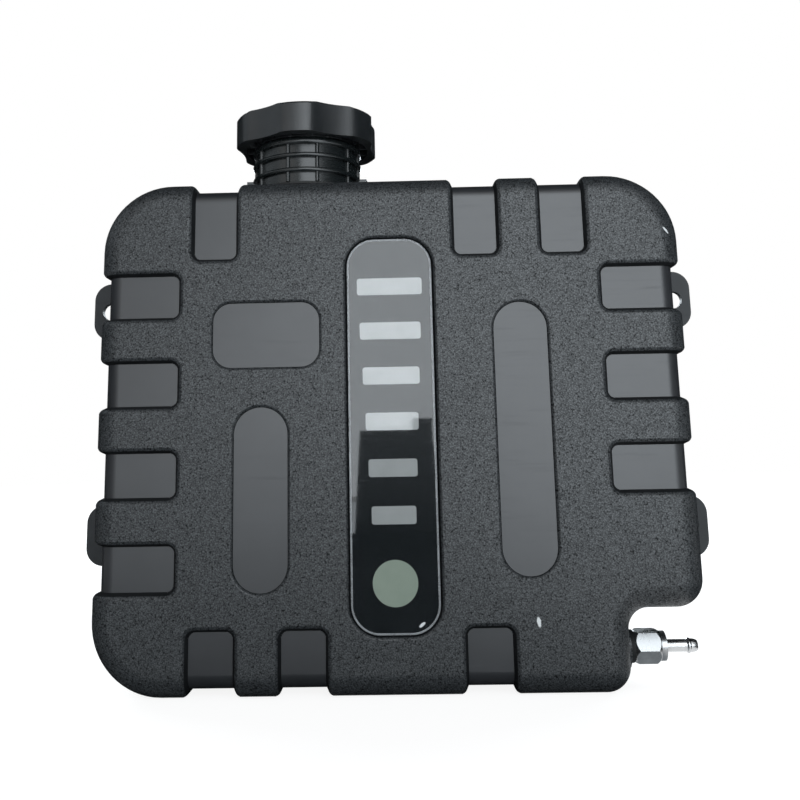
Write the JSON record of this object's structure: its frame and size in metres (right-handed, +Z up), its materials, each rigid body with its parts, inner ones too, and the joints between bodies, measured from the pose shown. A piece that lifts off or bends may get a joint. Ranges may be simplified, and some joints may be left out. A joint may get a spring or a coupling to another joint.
{
  "type": "parking heater fuel tank",
  "caption": "Flat moulded plastic fuel tank with notched ribbed rims, a ribbed filler neck with a lobed screw cap, a level panel, a hose outlet in a corner cut-out and mounting ears.",
  "frame": {"origin": "middle of the bounding box at the tank's foot", "axes": "+X across the tank towards the outlet, +Y from the front with the level panel to the rear with the ears, +Z up"},
  "size_m": [0.356, 0.082, 0.3054],
  "materials": {
    "tank_plastic": "fine grained black skin with smooth pads",
    "neck_plastic": "satin black",
    "cap_plastic": "satin black",
    "seal_rubber": "matt",
    "washer_rubber": "matt",
    "adhesive_tape": "foam sheet",
    "gauge_gloss": "polished black",
    "clear_film": "clear",
    "level_mark": "pale grey under clear film",
    "level_spot": "pale grey-green under clear film",
    "stem_brass": "turned",
    "plated_metal": "bright nickel plate"
  },
  "bodies": {
    "tank": {"tank_shell": "tank_plastic", "filler_neck": "neck_plastic", "neck_seal": "seal_rubber", "gauge_tape": "adhesive_tape", "gauge_panel": "gauge_gloss", "gauge_film": "clear_film", "level_bar_1": "level_mark", "level_bar_2": "level_mark", "level_bar_3": "level_mark", "level_bar_4": "level_mark", "level_bar_5": "level_mark", "level_bar_6": "level_mark", "level_dot": "level_spot", "outlet_stem": "stem_brass", "outlet_inner_seal": "seal_rubber", "outlet_washer": "washer_rubber", "union_nut": "plated_metal", "tail_seal": "seal_rubber", "hose_tail": "plated_metal"},
    "gasket": {"cap_gasket": "seal_rubber"},
    "cap": {"filler_cap": "cap_plastic", "vent_valve": "seal_rubber", "splash_baffle": "cap_plastic"}
  },
  "joints": [
    {"name": "cap_lift", "type": "slide", "parent": "tank", "child": "gasket", "axis": [0, 0, 1], "range_m": [0, 0.0136]},
    {"name": "cap_turn", "type": "hinge", "parent": "gasket", "child": "cap", "pos_m": [-0.046, 0, 0.29], "axis": [0, 0, 1], "range_deg": [0, 810]}
  ],
  "couplings": [
    {"joint": "cap_lift", "follows": "cap_turn", "m_per_rad": 0.00095493}
  ]
}
